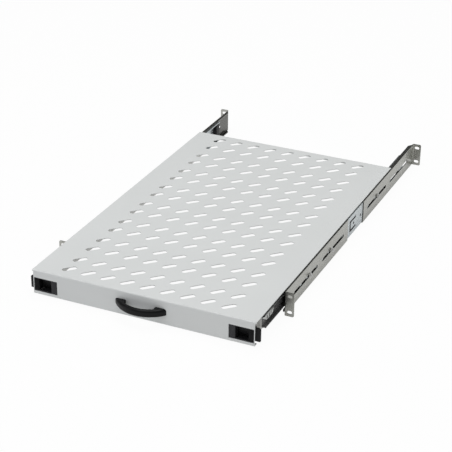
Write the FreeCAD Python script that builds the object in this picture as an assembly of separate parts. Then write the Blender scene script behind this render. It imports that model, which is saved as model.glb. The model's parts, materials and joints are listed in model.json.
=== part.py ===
import FreeCAD
import Part
import math
import os

from FreeCAD import Vector

# Sliding shelf for a 19-inch rack, in millimetres.
# X runs to the right, Y from the front posts to the rear posts, and Z up.
# The origin is the centre of the front ears' hole pattern, on the face that meets the front posts.
# The shelf is drawn pulled out by pulled_out, measured from the closed position.

# Rack standard: hole pattern of the posts, and how far the opening and the ear's edge lie from the holes
hole_pitch_x = 465.1
hole_spacing_z = 31.75
hole_to_opening = 7.55
hole_to_edge = 8.75
post_distance = 735.0

# Mounting brackets, folded from galvanised strip
bracket_sheet = 1.5
bracket_side_gap = 0.8
bracket_height = 48.5
bracket_flange = 8.0
bracket_bend = 1.0
bracket_tail = 23.0
flange_setback = 5.0
flange_slope = 11.0
ear_corner_radius = 3.0
ear_hole_radius = 3.3
ear_hole_length = 10.4
adjust_slot_clearance = 0.65
adjust_slot_length = 117.0
adjust_slot_start = 41.0
adjust_slot_gap = 24.0

# Shelf tray, folded from one sheet; heights are measured from the slides' centre line
tray_sheet = 1.2
tray_edge_inset = 1.2
tray_lift = 3.05
tray_depth = 716.0
tray_bend = 1.5
panel_skirt = 20.4
panel_side_inset = 2.3
panel_return = 11.0
panel_return_inset = 3.0
rear_flange = 11.0
rear_flange_inset = 20.0
closed_gap = 0.8
pulled_out = 127.0

# Ventilation slots in the tray
vent_length = 28.5
vent_width = 10.5
vent_angle = 45.0
vent_column_pitch = 40.0
vent_side_margin = 55.0
vent_shift = -2.3
vent_pair_pitch = 88.0
vent_pair_gap = 40.0
vent_front_margin = 31.5
vent_rear_margin = 20.0

# Ball-bearing slides: depths are measured inwards from the bracket's web, setbacks from a member's front end
slide_depth = 13.0
slide_front_setback = 72.0
inner_lead = 19.0
slide_clearance = 0.45
moving_length = 578.0
middle_setback = 20.0
member_sheet = 1.2
member_bend = 1.6
lip_sheet = 1.8
middle_lip_sheet = 2.4
outer_lip_depth = 9.5
middle_lip_depth = 10.8
inner_lip_depth = 5.4
ball_radius = 1.6
ball_clearance = 0.25
race_sunk = 0.8
outer_ball_depth = 6.2
inner_ball_depth = 7.8
balls_per_strip = 5
strip_thickness = 0.8
strip_width = 5.0
strip_length = 245.0
strip_ball_clearance = 0.2
strip_end_margin = 8.0
stop_length = 15.0
stop_gap = 1.0
stop_seat = 0.3
stop_wall = 3.0
stop_floor = 1.5
stop_tail = 2.0
bumper_length = 6.0
bumper_lip = 0.6
bumper_arm_length = 20.0
bumper_arm_height = 5.4
bumper_land_gap = 0.6
bumper_web_gap = 0.4

# Punched details of the slide members, as setbacks of their two ends
tab_length = 32.0
tab_height = 22.0
tab_cut = 2.2
tab_setback = 266.0
pilot_radius = 2.0
pilot_setbacks = (287.0, 327.0)
web_slot_width = 5.2
outer_web_slots = ((8.0, 32.0), (58.0, 80.0), (118.0, 144.0), (170.0, 220.0), (376.0, 413.0), (439.0, 482.0),
                   (516.0, 568.0))
middle_web_slots = ((22.0, 52.0), (202.0, 232.0), (382.0, 412.0))
inner_web_slots = ((92.0, 122.0), (272.0, 302.0), (452.0, 482.0))

# Bolts that clamp the outer members to the brackets, each so far from the middle of its adjusting slot
first_bolt_offset = 17.5
second_bolt_offset = -11.5
rear_bolt_offset = -3.5
bolt_radius = 2.5
hole_clearance = 0.2
thread_clearance = 0.05
bolt_head_radius = 5.0
bolt_head_height = 1.5
bolt_head_gap = 0.5
bolt_past_nut = 1.2
bolt_nut_height = 4.0
bolt_nut_across_flats = 8.0

# Side rails under the tray
rail_sheet = 1.5
rail_top_leg = 18.0
rail_drop = 17.5
rail_bend = 1.0
rail_latch_gap = 4.6
rail_rear_setback = 10.0
rail_cut_height = 24.0
rail_cut_length = 32.0

# Release lever in the front of each inner member, which its spring tilts up at the tip
lever_sheet = 1.4
lever_length = 44.0
lever_height = 10.5
lever_taper = 19.0
lever_hook = 8.0
lever_tip_rise = 8.4
lever_tip_height = 2.2
lever_tip_lead = 8.0
lever_pivot_z = 2.75
lever_tip_round = 0.8
lever_collar = 2.0
lever_play = 0.2
lever_window_length = 4.0
lever_window_height = 6.0
lever_window_drop = 0.8
lever_window_setbacks = (19.5, 28.5)
rivet_radius = 2.0
rivet_head_radius = 3.4
rivet_head_height = 1.0
rivet_clearance = 0.05

# Screws that hold the inner members on the side rails, the first one just behind the lever's pivot
lever_screw_gap = 11.0
rear_screw_setbacks = (242.0, 492.0)
slide_screw_radius = 2.0
slide_nut_height = 3.2
slide_nut_across_flats = 7.0
slide_screw_head_radius = 3.6
slide_screw_head_height = 1.7
slide_screw_head_round = 0.85
screw_past_nut = 1.0

# Latches behind the front panel
latch_opening_width = 48.5
latch_opening_height = 27.4
latch_side_margin = 3.5
latch_opening_corner = 1.0
latch_fit = 0.4
latch_wall = 1.4
latch_recess = 0.6
latch_depth = 19.4
latch_relief = 9.5
latch_rim = 0.65
latch_rim_sheet = 1.5
latch_slide_gap = 0.45
grip_width = 8.4
grip_ribs = 4
grip_rib_depth = 1.0
slider_sheet = 3.6
slider_back_gap = 0.6
tongue_past_web = 4.7
tongue_release = 0.4
tongue_ear_gap = 1.5
tongue_thickness = 9.0
tongue_chamfer = 4.5
keeper_clearance = 1.4
spring_wire_radius = 0.4
spring_wire_sides = 8
spring_radius = 4.0
spring_turns = 3.0
spring_seat_sheet = 1.6
spring_end_gap = 0.1
spring_boss_radius = 2.8
spring_boss_height = 2.0
spring_boss_gap = 2.2

# Bow handle
handle_width = 101.5
handle_reach = 25.0
handle_thickness = 9.0
handle_height = 14.4
handle_centre_z = 5.2
handle_foot = 21.0
handle_foot_reach = 7.0
handle_outer_round = 4.5
handle_inner_round = 2.5
handle_screw_radius = 2.0
handle_screw_grip = 5.0
handle_bore_spare = 1.0
handle_screw_head_radius = 4.0
handle_screw_head_height = 2.4

# Every cutter runs this far past the face that it cuts
past = 1.0

# Places that follow from the sizes above
ear_edge_x = hole_pitch_x / 2 + hole_to_edge
web_outer_x = hole_pitch_x / 2 - hole_to_opening - bracket_side_gap
web_inner_x = web_outer_x - bracket_sheet
slot_middles = (adjust_slot_start + adjust_slot_length / 2,
                adjust_slot_start + adjust_slot_length * 3 / 2 + adjust_slot_gap)
bracket_length = adjust_slot_start + 2 * adjust_slot_length + adjust_slot_gap + bracket_tail
adjust_slot_width = 2 * (bolt_radius + adjust_slot_clearance)
bolt_places = (slot_middles[0] + first_bolt_offset, slot_middles[1] + second_bolt_offset,
               post_distance - slot_middles[1] - rear_bolt_offset)
rail_outer_x = web_inner_x - slide_depth
tray_half = web_outer_x - tray_edge_inset
tray_under_z = bracket_height / 2 + tray_lift
tray_top = tray_under_z + tray_sheet
panel_front_y = -(bracket_sheet + closed_gap + tray_sheet) - pulled_out
panel_back_y = panel_front_y + tray_sheet
tray_rear_y = panel_front_y + tray_depth

outer_length = moving_length + stop_gap + stop_length + stop_tail
outer_half_height = bracket_height / 2 - bracket_sheet - slide_clearance
outer_land = outer_half_height - lip_sheet
outer_ball_height = outer_land + race_sunk - ball_clearance - ball_radius
middle_half_height = outer_ball_height - ball_radius - ball_clearance + race_sunk
middle_land = middle_half_height - middle_lip_sheet
middle_web_depth = member_sheet + bolt_head_height + bolt_head_gap
inner_ball_height = middle_land + race_sunk - ball_clearance - ball_radius
inner_half_height = inner_ball_height - ball_radius - ball_clearance + race_sunk
race_radius = ball_radius + ball_clearance
strip_closed_y = slide_front_setback + (moving_length - strip_length) / 2
middle_front_y = slide_front_setback + middle_setback - pulled_out / 2
middle_length = moving_length - middle_setback
inner_front_y = slide_front_setback - inner_lead - pulled_out
outer_cage_shift = -pulled_out / 4
inner_cage_shift = -pulled_out * 3 / 4
lever_pivot_y = inner_front_y - lever_tip_lead + lever_length
slide_screw_places = [lever_pivot_y + lever_screw_gap]
slide_screw_places += [inner_front_y + setback for setback in rear_screw_setbacks]

latch_travel = tongue_past_web + bracket_sheet + tongue_release
latch_x1 = tray_half - latch_side_margin - latch_fit
latch_x0 = tray_half - latch_side_margin - latch_opening_width + latch_fit
latch_half_z = latch_opening_height / 2 - latch_fit
slider_half_z = latch_half_z - latch_wall - latch_slide_gap
slider_x0 = latch_x0 + latch_wall + spring_boss_height + spring_boss_gap + latch_travel
tongue_setback = tray_sheet + closed_gap + bracket_sheet + tongue_ear_gap
spring_centre_y = panel_front_y + (tongue_setback + latch_depth - latch_wall) / 2
handle_screw_x = (handle_width - handle_foot) / 2


def box(x0, x1, y0, y1, z0, z1):
    return Part.makeBox(x1 - x0, y1 - y0, z1 - z0, Vector(x0, y0, z0))


def prism(points, along):
    wire = Part.makePolygon(list(points) + [points[0]])
    return Part.Face(wire).extrude(along)


def rod(centre, along, radius):
    return Part.makeCylinder(radius, along.Length, centre, along)


def hole_across(x0, x1, y, radius, z=0):
    """A round cutter past both faces of a sheet that stands across X, at the slides' height by default."""
    return rod(Vector(x0 - past, y, z), Vector(x1 - x0 + 2 * past, 0, 0), radius)


def oblong(centre, run, along, length, width):
    """A round-ended cutter: run is the unit vector of its length, along its extrusion."""
    across = run.cross(along)
    across.normalize()
    half = run * ((length - width) / 2)
    side = across * (width / 2)
    tip = run * (length / 2)
    corners = [centre - half - side, centre + half - side, centre + half + side, centre - half + side]
    edges = [Part.makeLine(corners[0], corners[1]),
             Part.Arc(corners[1], centre + tip, corners[2]).toShape(),
             Part.makeLine(corners[2], corners[3]),
             Part.Arc(corners[3], centre - tip, corners[0]).toShape()]
    return Part.Face(Part.Wire(edges)).extrude(along)


def slot_across(x0, x1, y0, y1, width):
    """A round-ended cutter along Y that runs past both faces of a sheet that stands across X."""
    across = Vector(x1 - x0 + 2 * past, 0, 0)
    return oblong(Vector(x0 - past, (y0 + y1) / 2, 0), Vector(0, 1, 0), across, y1 - y0, width)


def hexagon(centre, along, across_flats):
    reach = across_flats / math.sqrt(3)
    corners = [centre + Vector(0, reach * math.cos(i * math.pi / 3), reach * math.sin(i * math.pi / 3))
               for i in range(6)]
    return prism(corners, along)


def rounded(shape, radius, chosen):
    return shape.makeFillet(radius, [edge for edge in shape.Edges if chosen(edge)])


def lies_at(edge, **place):
    """True for an edge whose vertices all share the given coordinates."""
    return all(abs(getattr(vertex.Point, axis) - value) < 1e-4
               for vertex in edge.Vertexes for axis, value in place.items())


def runs_along(edge, axis):
    """True for a straight edge that is parallel to the given axis."""
    ends = [getattr(vertex.Point, axis) for vertex in edge.Vertexes]
    return len(ends) == 2 and abs(abs(ends[1] - ends[0]) - edge.Length) < 1e-4


def left_of(shape):
    return shape.mirror(Vector(0, 0, 0), Vector(1, 0, 0))


def depth_x(depth):
    return web_inner_x - depth


def export(name, shape):
    shape.exportStep("parts/" + name + ".step")


def export_pair(name, right_shape):
    export("right_" + name, right_shape)
    export("left_" + name, left_of(right_shape))


def keeper_window():
    """The window behind the ear that the latch's tongue drops into when the shelf is closed."""
    front = panel_front_y + pulled_out + tongue_setback
    half = slider_half_z + keeper_clearance
    return box(web_inner_x - past, web_outer_x + past, front - keeper_clearance,
               front + tongue_thickness + keeper_clearance, -half, half)


def bracket_ear():
    half = bracket_height / 2
    ear = box(web_inner_x, ear_edge_x, -bracket_sheet, 0, -half, half)
    ear = rounded(ear, ear_corner_radius, lambda e: lies_at(e, x=ear_edge_x) and runs_along(e, "y"))
    through = Vector(0, bracket_sheet + 2 * past, 0)
    holes = [oblong(Vector(hole_pitch_x / 2, -bracket_sheet - past, z), Vector(1, 0, 0), through,
                    ear_hole_length, 2 * ear_hole_radius) for z in (-hole_spacing_z / 2, hole_spacing_z / 2)]
    return ear.cut(Part.makeCompound(holes))


def bracket():
    """A folded C-channel whose web turns outwards into the ear at its front end."""
    half = bracket_height / 2
    flange_x = web_outer_x - bracket_flange
    front, rear = -bracket_sheet, bracket_length
    body = box(flange_x, web_outer_x, front, rear, -half, half)
    body = body.cut(box(flange_x, web_inner_x, front, rear, -half + bracket_sheet, half - bracket_sheet))
    outer_bend = bracket_bend + bracket_sheet
    body = rounded(body, outer_bend, lambda e: lies_at(e, x=web_outer_x) and runs_along(e, "y"))
    body = rounded(body, bracket_bend, lambda e: lies_at(e, x=web_inner_x) and runs_along(e, "y"))
    low = -half - past
    setback = [Vector(flange_x - past, front - past, low), Vector(web_inner_x, front - past, low),
               Vector(web_inner_x, flange_setback, low),
               Vector(flange_x - past, flange_setback + flange_slope, low)]
    body = body.cut(prism(setback, Vector(0, 0, bracket_height + 2 * past)))
    body = body.fuse(bracket_ear()).removeSplitter()
    body = rounded(body, outer_bend, lambda e: lies_at(e, x=web_inner_x, y=front))
    body = rounded(body, bracket_bend, lambda e: lies_at(e, x=web_outer_x, y=0))
    half_slot = adjust_slot_length / 2
    slots = [slot_across(web_inner_x, web_outer_x, middle - half_slot, middle + half_slot, adjust_slot_width)
             for middle in slot_middles]
    return body.cut(Part.makeCompound(slots))


def rear_of(shape):
    """Turns a front bracket end for end, so that its ear meets the rear posts from behind."""
    return shape.mirror(Vector(0, post_distance / 2, 0), Vector(0, 1, 0))


def channel(web_depth, web_end, lip_end, half_height, lip, y0, y1):
    """A rolled C-section that runs along Y, with rounded outer bends."""
    x_web, x_in, x_lip = depth_x(web_depth), depth_x(web_end), depth_x(lip_end)
    inner = half_height - lip
    points = [(x_web, -half_height), (x_lip, -half_height), (x_lip, -inner), (x_in, -inner),
              (x_in, inner), (x_lip, inner), (x_lip, half_height), (x_web, half_height)]
    body = prism([Vector(x, y0, z) for x, z in points], Vector(0, y1 - y0, 0))
    return rounded(body, member_bend, lambda e: lies_at(e, x=x_web) and runs_along(e, "y"))


def races(depth, height, y0, y1):
    return [rod(Vector(depth_x(depth), y0 - past, z), Vector(0, y1 - y0 + 2 * past, 0), race_radius)
            for z in (-height, height)]


def web_slots(depth, spans, front_y):
    """Oblong holes through the web of a slide member, on its centre line."""
    x0, x1 = depth_x(depth + member_sheet), depth_x(depth)
    return [slot_across(x0, x1, front_y + start, front_y + end, web_slot_width) for start, end in spans]


def tab_outline():
    """The C-shaped cut that frees a spring tab in the outer member's web."""
    x0, x1 = depth_x(member_sheet) - past, web_inner_x + past
    y0 = slide_front_setback + tab_setback
    half = tab_height / 2
    frame = box(x0, x1, y0, y0 + tab_length, -half, half)
    return frame.cut(box(x0, x1, y0 + tab_cut, y0 + tab_length, -half + tab_cut, half - tab_cut))


def outer_member():
    y0, y1 = slide_front_setback, slide_front_setback + outer_length
    body = channel(0, member_sheet, outer_lip_depth, outer_half_height, lip_sheet, y0, y1)
    cuts = races(outer_ball_depth, outer_ball_height, y0, y1) + web_slots(0, outer_web_slots, y0)
    cuts.append(tab_outline())
    x0 = depth_x(member_sheet)
    cuts += [hole_across(x0, web_inner_x, y0 + setback, pilot_radius) for setback in pilot_setbacks]
    cuts += [hole_across(x0, web_inner_x, y, bolt_radius + hole_clearance) for y in bolt_places]
    return body.cut(Part.makeCompound(cuts))


def middle_member():
    y0, y1 = middle_front_y, middle_front_y + middle_length
    body = channel(middle_web_depth, middle_web_depth + member_sheet, middle_lip_depth, middle_half_height,
                   middle_lip_sheet, y0, y1)
    cuts = races(outer_ball_depth, outer_ball_height, y0, y1)
    cuts += races(inner_ball_depth, inner_ball_height, y0, y1)
    cuts += web_slots(middle_web_depth, middle_web_slots, y0)
    return body.cut(Part.makeCompound(cuts))


def inner_member():
    y0, y1 = inner_front_y, inner_front_y + moving_length
    web_end = slide_depth - member_sheet
    body = channel(slide_depth, web_end, inner_lip_depth, inner_half_height, lip_sheet, y0, y1)
    cuts = races(inner_ball_depth, inner_ball_height, y0, y1) + web_slots(web_end, inner_web_slots, y0)
    x1 = depth_x(web_end)
    screw_hole = slide_screw_radius + hole_clearance
    cuts += [hole_across(rail_outer_x, x1, y, screw_hole) for y in slide_screw_places]
    cuts.append(hole_across(rail_outer_x, x1, lever_pivot_y, rivet_radius + rivet_clearance, lever_pivot_z))
    return body.cut(Part.makeCompound(cuts))


def ball_places():
    pitch = (strip_length - 2 * strip_end_margin) / (balls_per_strip - 1)
    return [strip_closed_y + strip_end_margin + i * pitch for i in range(balls_per_strip)]


def ball_cage(depth, height, shift):
    """Two retainer strips, above and below, with a hole round each ball."""
    strips = []
    x, y = depth_x(depth), strip_closed_y + shift
    for z in (-height, height):
        low, high = z - strip_thickness / 2, z + strip_thickness / 2
        strip = box(x - strip_width / 2, x + strip_width / 2, y, y + strip_length, low, high)
        holes = [rod(Vector(x, place + shift, low - past), Vector(0, 0, strip_thickness + 2 * past),
                     ball_radius + strip_ball_clearance) for place in ball_places()]
        strips.append(strip.cut(Part.makeCompound(holes)))
    return Part.makeCompound(strips)


def balls(depth, height, shift):
    return Part.makeCompound([Part.makeSphere(ball_radius, Vector(depth_x(depth), place + shift, z))
                              for z in (-height, height) for place in ball_places()])


def rear_stop():
    """A moulded block in the rear end of the outer member, hollow towards the rear."""
    y0 = slide_front_setback + moving_length + stop_gap
    half = outer_land - stop_seat
    x_web, x_end = depth_x(member_sheet), depth_x(outer_lip_depth)
    block = box(x_end, x_web, y0, y0 + stop_length, -half, half)
    block = rounded(block, stop_floor, lambda e: lies_at(e, x=x_end, y=y0))
    pocket = box(x_end + stop_wall, x_web - stop_floor, y0 + stop_wall, y0 + stop_length, -half + stop_wall,
                 half - stop_wall)
    return block.cut(pocket)


def front_bumper():
    """A moulded C-shaped cap on the front end of the intermediate member, with two arms that lead it."""
    y0, y1 = middle_front_y - bumper_length, middle_front_y
    cap = channel(middle_web_depth - bumper_lip, middle_web_depth + member_sheet, middle_lip_depth,
                  middle_half_height + bumper_lip, middle_lip_sheet + bumper_lip, y0, y1)
    cap = rounded(cap, bumper_lip, lambda e: lies_at(e, x=depth_x(middle_lip_depth), y=y0))
    x0, x1 = depth_x(middle_web_depth + member_sheet), depth_x(member_sheet + bumper_web_gap)
    arm_z1 = outer_land - bumper_land_gap
    arm_z0 = arm_z1 - bumper_arm_height
    arm = box(x0, x1, y0 - bumper_arm_length, y1, arm_z0, arm_z1)
    arm = rounded(arm, bumper_lip, lambda e: lies_at(e, y=y0 - bumper_arm_length))
    other = arm.mirror(Vector(0, 0, 0), Vector(0, 0, 1))
    return cap.fuse([arm, other]).removeSplitter()


def bracket_bolts():
    """Flat-headed bolts: the head lies in the outer member and the shank comes out through the bracket."""
    bolts = []
    reach = member_sheet + bracket_sheet + bolt_nut_height + bolt_past_nut
    for y in bolt_places:
        seat = Vector(depth_x(member_sheet), y, 0)
        shank = rod(seat, Vector(reach, 0, 0), bolt_radius)
        head = rod(seat, Vector(-bolt_head_height, 0, 0), bolt_head_radius)
        bolts.append(shank.fuse(head).removeSplitter())
    return Part.makeCompound(bolts)


def nuts(seat_x, height, across_flats, thread_radius, places):
    """Hexagon nuts on a seat that stands across X, on its far side for a negative height."""
    made = []
    for y in places:
        seat = Vector(seat_x, y, 0)
        along = Vector(height, 0, 0)
        bore = rod(seat, along, thread_radius + thread_clearance)
        made.append(hexagon(seat, along, across_flats).cut(bore))
    return Part.makeCompound(made)


def slide_screws():
    """Pan-headed screws from the inner member's channel through the side rail."""
    screws = []
    reach = member_sheet + rail_sheet + slide_nut_height + screw_past_nut
    seat_x = rail_outer_x + member_sheet
    top_x = seat_x + slide_screw_head_height
    for y in slide_screw_places:
        seat = Vector(seat_x, y, 0)
        shank = rod(seat, Vector(-reach, 0, 0), slide_screw_radius)
        head = rod(seat, Vector(slide_screw_head_height, 0, 0), slide_screw_head_radius)
        head = rounded(head, slide_screw_head_round, lambda e: lies_at(e, x=top_x))
        screws.append(shank.fuse(head).removeSplitter())
    return Part.makeCompound(screws)


def side_rail():
    """A folded angle under the tray, cut away at its lower front, which carries the inner member."""
    y0, y1 = panel_front_y + latch_depth + rail_latch_gap, tray_rear_y - rail_rear_setback
    bottom, top = -rail_drop, tray_under_z
    x0, web_x = rail_outer_x - rail_top_leg, rail_outer_x - rail_sheet
    points = [(x0, top), (rail_outer_x, top), (rail_outer_x, bottom), (web_x, bottom),
              (web_x, top - rail_sheet), (x0, top - rail_sheet)]
    rail = prism([Vector(x, y0, z) for x, z in points], Vector(0, y1 - y0, 0))
    rail = rounded(rail, rail_bend + rail_sheet, lambda e: lies_at(e, x=rail_outer_x, z=top))
    rail = rounded(rail, rail_bend, lambda e: lies_at(e, x=web_x, z=top - rail_sheet))
    cut_z, cut_y = bottom + rail_cut_height, y0 + rail_cut_length
    corner = [(y0 - past, cut_z), (y0, cut_z), (cut_y, bottom), (cut_y, bottom - past),
              (y0 - past, bottom - past)]
    cuts = [prism([Vector(x0 - past, y, z) for y, z in corner], Vector(rail_top_leg + 2 * past, 0, 0))]
    screw_hole = slide_screw_radius + hole_clearance
    cuts += [hole_across(web_x, rail_outer_x, y, screw_hole) for y in slide_screw_places]
    return rail.cut(Part.makeCompound(cuts))


def lever_rivet():
    """A shouldered rivet: collar on the inner member's web, shank, and a flat head over the lever."""
    start = Vector(rail_outer_x, lever_pivot_y, lever_pivot_z)
    collar_x = member_sheet + lever_collar
    head_x = collar_x + lever_play + lever_sheet + lever_play
    shank = rod(start, Vector(head_x, 0, 0), rivet_radius)
    collar = rod(start + Vector(member_sheet, 0, 0), Vector(lever_collar, 0, 0), rivet_head_radius)
    head = rod(start + Vector(head_x, 0, 0), Vector(rivet_head_height, 0, 0), rivet_head_radius)
    return shank.fuse([collar, head]).removeSplitter()


def release_lever():
    """A flat pressed lever: rounded at its pivot, with two windows, and drawn out to a raised thumb tip."""
    x = rail_outer_x + member_sheet + lever_collar + lever_play
    pivot, tip = lever_pivot_y, lever_pivot_y - lever_length
    half = lever_height / 2
    outline = [(pivot, -half), (tip + lever_taper, -half), (tip, lever_tip_rise - lever_tip_height),
               (tip, lever_tip_rise), (tip + lever_hook, half), (pivot, half)]
    corners = [Vector(x, y, lever_pivot_z + z) for y, z in outline]
    edges = [Part.makeLine(start, end) for start, end in zip(corners, corners[1:])]
    edges.append(Part.Arc(corners[-1], Vector(x, pivot + half, lever_pivot_z), corners[0]).toShape())
    across = Vector(lever_sheet, 0, 0)
    lever = Part.Face(Part.Wire(edges)).extrude(across)
    lever = rounded(lever, lever_tip_round, lambda e: lies_at(e, y=tip) and runs_along(e, "x"))
    holes = [rod(Vector(x, pivot, lever_pivot_z), across, rivet_radius + rivet_clearance)]
    window_z = lever_pivot_z - lever_window_drop
    for y in [tip + setback for setback in lever_window_setbacks]:
        holes.append(box(x, x + lever_sheet, y, y + lever_window_length, window_z - lever_window_height / 2,
                         window_z + lever_window_height / 2))
    return lever.cut(Part.makeCompound(holes))


def vent_slots():
    """Diagonal slots in rows that stand in pairs along the tray, as many as its margins leave room for."""
    turn = math.radians(vent_angle)
    run = Vector(math.cos(turn), math.sin(turn), 0)
    through = Vector(0, 0, tray_sheet + 2 * past)
    gaps = int(2 * (tray_half - vent_side_margin) // vent_column_pitch)
    columns = [vent_shift + (i - gaps / 2) * vent_column_pitch for i in range(gaps + 1)]
    pairs = int((tray_depth - vent_front_margin - vent_pair_gap - vent_rear_margin) // vent_pair_pitch) + 1
    rows = [panel_front_y + vent_front_margin + i * vent_pair_pitch + step
            for i in range(pairs) for step in (0, vent_pair_gap)]
    return [oblong(Vector(x, y, tray_under_z - past), run, through, vent_length, vent_width)
            for y in rows for x in columns]


def latch_opening():
    half_z = latch_opening_height / 2
    x0, x1 = latch_x0 - latch_fit, latch_x1 + latch_fit
    hole = box(x0, x1, panel_front_y - past, panel_back_y + past, -half_z, half_z)
    return rounded(hole, latch_opening_corner, lambda e: runs_along(e, "y"))


def sheet_ends(inset, y0, y1, z0, z1):
    """Cutters that shorten a turned-over edge of the tray by inset at both ends."""
    return [box(min(a, b), max(a, b), y0, y1, z0, z1)
            for a, b in ((side * (tray_half - inset), side * (tray_half + past)) for side in (-1, 1))]


def shelf_tray():
    """One sheet: the return, the front panel, the perforated deck and the rear flange."""
    bottom, flange_z = -panel_skirt, tray_top - rear_flange
    return_y, flange_y = panel_front_y + panel_return, tray_rear_y - tray_sheet
    points = [(return_y, bottom), (panel_front_y, bottom), (panel_front_y, tray_top), (tray_rear_y, tray_top),
              (tray_rear_y, flange_z), (flange_y, flange_z), (flange_y, tray_under_z),
              (panel_back_y, tray_under_z), (panel_back_y, bottom + tray_sheet),
              (return_y, bottom + tray_sheet)]
    tray = prism([Vector(-tray_half, y, z) for y, z in points], Vector(2 * tray_half, 0, 0))
    outer_bends = (points[1], points[2], points[3])
    inner_bends = (points[6], points[7], points[8])
    outer_bend = tray_bend + tray_sheet
    tray = rounded(tray, outer_bend, lambda e: any(lies_at(e, y=y, z=z) for y, z in outer_bends))
    tray = rounded(tray, tray_bend, lambda e: any(lies_at(e, y=y, z=z) for y, z in inner_bends))
    cuts = vent_slots()
    cuts += sheet_ends(panel_side_inset, panel_front_y - past, return_y + past, bottom - past,
                       tray_top - outer_bend)
    cuts += sheet_ends(panel_return_inset, panel_front_y + outer_bend, return_y + past, bottom - past,
                       bottom + tray_sheet + past)
    cuts += sheet_ends(rear_flange_inset, flange_y - past, tray_rear_y + past, flange_z - past,
                       tray_top - outer_bend)
    cuts += [rod(Vector(x, panel_front_y - past, handle_centre_z), Vector(0, tray_sheet + 2 * past, 0),
                 handle_screw_radius + hole_clearance) for x in (-handle_screw_x, handle_screw_x)]
    opening = latch_opening()
    cuts += [opening, left_of(opening)]
    return tray.cut(Part.makeCompound(cuts))


def latch_housing():
    """A moulded case behind the panel's opening: a flat cover over the spring, open round the grip.

    Behind its rim the walls stop short at the outer end, where the bolt comes out.
    """
    y0, y1 = panel_front_y + latch_recess, panel_front_y + latch_depth
    shell = box(latch_x0, latch_x1, y0, y1, -latch_half_z, latch_half_z)
    rim_y = panel_back_y + latch_rim_sheet
    reach = latch_fit + latch_rim
    rim_z = latch_half_z + reach
    rim = box(latch_x0 - reach, latch_x1 + reach, panel_back_y, rim_y, -rim_z, rim_z)
    shell = shell.fuse(rim).removeSplitter()
    inner_z = latch_half_z - latch_wall
    well = box(latch_x0 + latch_wall, latch_x1 + past, rim_y, y1 - latch_wall, -inner_z, inner_z)
    mouth = box(slider_x0, latch_x1 - latch_wall, y0 - past, rim_y, -inner_z, inner_z)
    shell = shell.cut(Part.makeCompound([well, mouth]))
    relief = box(latch_x1 - latch_relief, latch_x1 + past, rim_y, y1 + past, -rim_z, rim_z)
    shell = shell.cut(relief)
    boss_foot = Vector(latch_x0 + latch_wall, spring_centre_y, 0)
    boss = rod(boss_foot, Vector(spring_boss_height, 0, 0), spring_boss_radius)
    return shell.fuse(boss).removeSplitter()


def latch_bolt():
    """The sliding bolt: spring seat, base plate, ribbed grip and a tongue chamfered at the back."""
    front, back = panel_front_y + latch_recess, panel_front_y + latch_depth - latch_wall - slider_back_gap
    grip_x1 = latch_x1 - latch_wall - latch_slide_gap
    grip_x0 = grip_x1 - grip_width
    tongue_y0 = panel_front_y + tongue_setback
    tongue_y1 = tongue_y0 + tongue_thickness
    tip_x = web_outer_x + tongue_past_web
    half = slider_half_z
    base = box(slider_x0, grip_x1, back - slider_sheet, back, -half, half)
    seat = box(slider_x0, slider_x0 + spring_seat_sheet, tongue_y0, back, -half, half)
    groove = grip_width / grip_ribs / 2
    starts = [grip_x0 + (2 * i + 0.5) * groove for i in range(grip_ribs)]
    grooves = [box(x, x + groove, front, front + grip_rib_depth, -half, half) for x in starts]
    grip = box(grip_x0, grip_x1, front, back, -half, half).cut(Part.makeCompound(grooves))
    outline = [(grip_x0, tongue_y0), (tip_x, tongue_y0), (tip_x, tongue_y1 - tongue_chamfer),
               (tip_x - tongue_chamfer, tongue_y1), (grip_x0, tongue_y1)]
    tongue = prism([Vector(x, y, -half) for x, y in outline], Vector(0, 0, 2 * half))
    return base.fuse([seat, grip, tongue]).removeSplitter()


def latch_spring():
    """A compression spring between the case's inner wall and the bolt's seat."""
    end = spring_wire_radius + spring_end_gap
    x0 = latch_x0 + latch_wall + end
    length = slider_x0 - end - x0
    helix = Part.makeHelix(length / spring_turns, length, spring_radius)
    start = helix.Edges[0].valueAt(helix.Edges[0].FirstParameter)
    turns = [2 * math.pi * i / spring_wire_sides for i in range(spring_wire_sides)]
    corners = [start + Vector(math.cos(turn), 0, math.sin(turn)) * spring_wire_radius for turn in turns]
    section = Part.makePolygon(corners + corners[:1])
    coil = Part.Wire(helix).makePipeShell([section], True, True)
    coil.rotate(Vector(0, 0, 0), Vector(0, 1, 0), 90)
    coil.translate(Vector(x0, spring_centre_y, 0))
    return coil


def handle():
    """A moulded bow: an arched grip that runs down into two solid feet."""
    half, foot = handle_width / 2, handle_width / 2 - handle_foot
    z = handle_centre_z - handle_height / 2

    def at(x, reach):
        return Vector(x, panel_front_y - reach, z)

    inner_top = at(0, handle_reach - handle_thickness)
    foot_y = panel_front_y - handle_foot_reach
    edges = [Part.Arc(at(half, 0), at(0, handle_reach), at(-half, 0)).toShape(),
             Part.makeLine(at(-half, 0), at(-foot, 0)),
             Part.makeLine(at(-foot, 0), at(-foot, handle_foot_reach)),
             Part.Arc(at(-foot, handle_foot_reach), inner_top, at(foot, handle_foot_reach)).toShape(),
             Part.makeLine(at(foot, handle_foot_reach), at(foot, 0)),
             Part.makeLine(at(foot, 0), at(half, 0))]
    bow = Part.Face(Part.Wire(edges)).extrude(Vector(0, 0, handle_height))
    for radius, y in ((handle_outer_round, panel_front_y), (handle_inner_round, foot_y)):
        bow = rounded(bow, radius, lambda e: isinstance(e.Curve, Part.Circle) and lies_at(e, y=y))
    deep = Vector(0, -handle_screw_grip - handle_bore_spare, 0)
    bores = [rod(Vector(x, panel_front_y, handle_centre_z), deep, handle_screw_radius + thread_clearance)
             for x in (-handle_screw_x, handle_screw_x)]
    return bow.cut(Part.makeCompound(bores))


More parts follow.
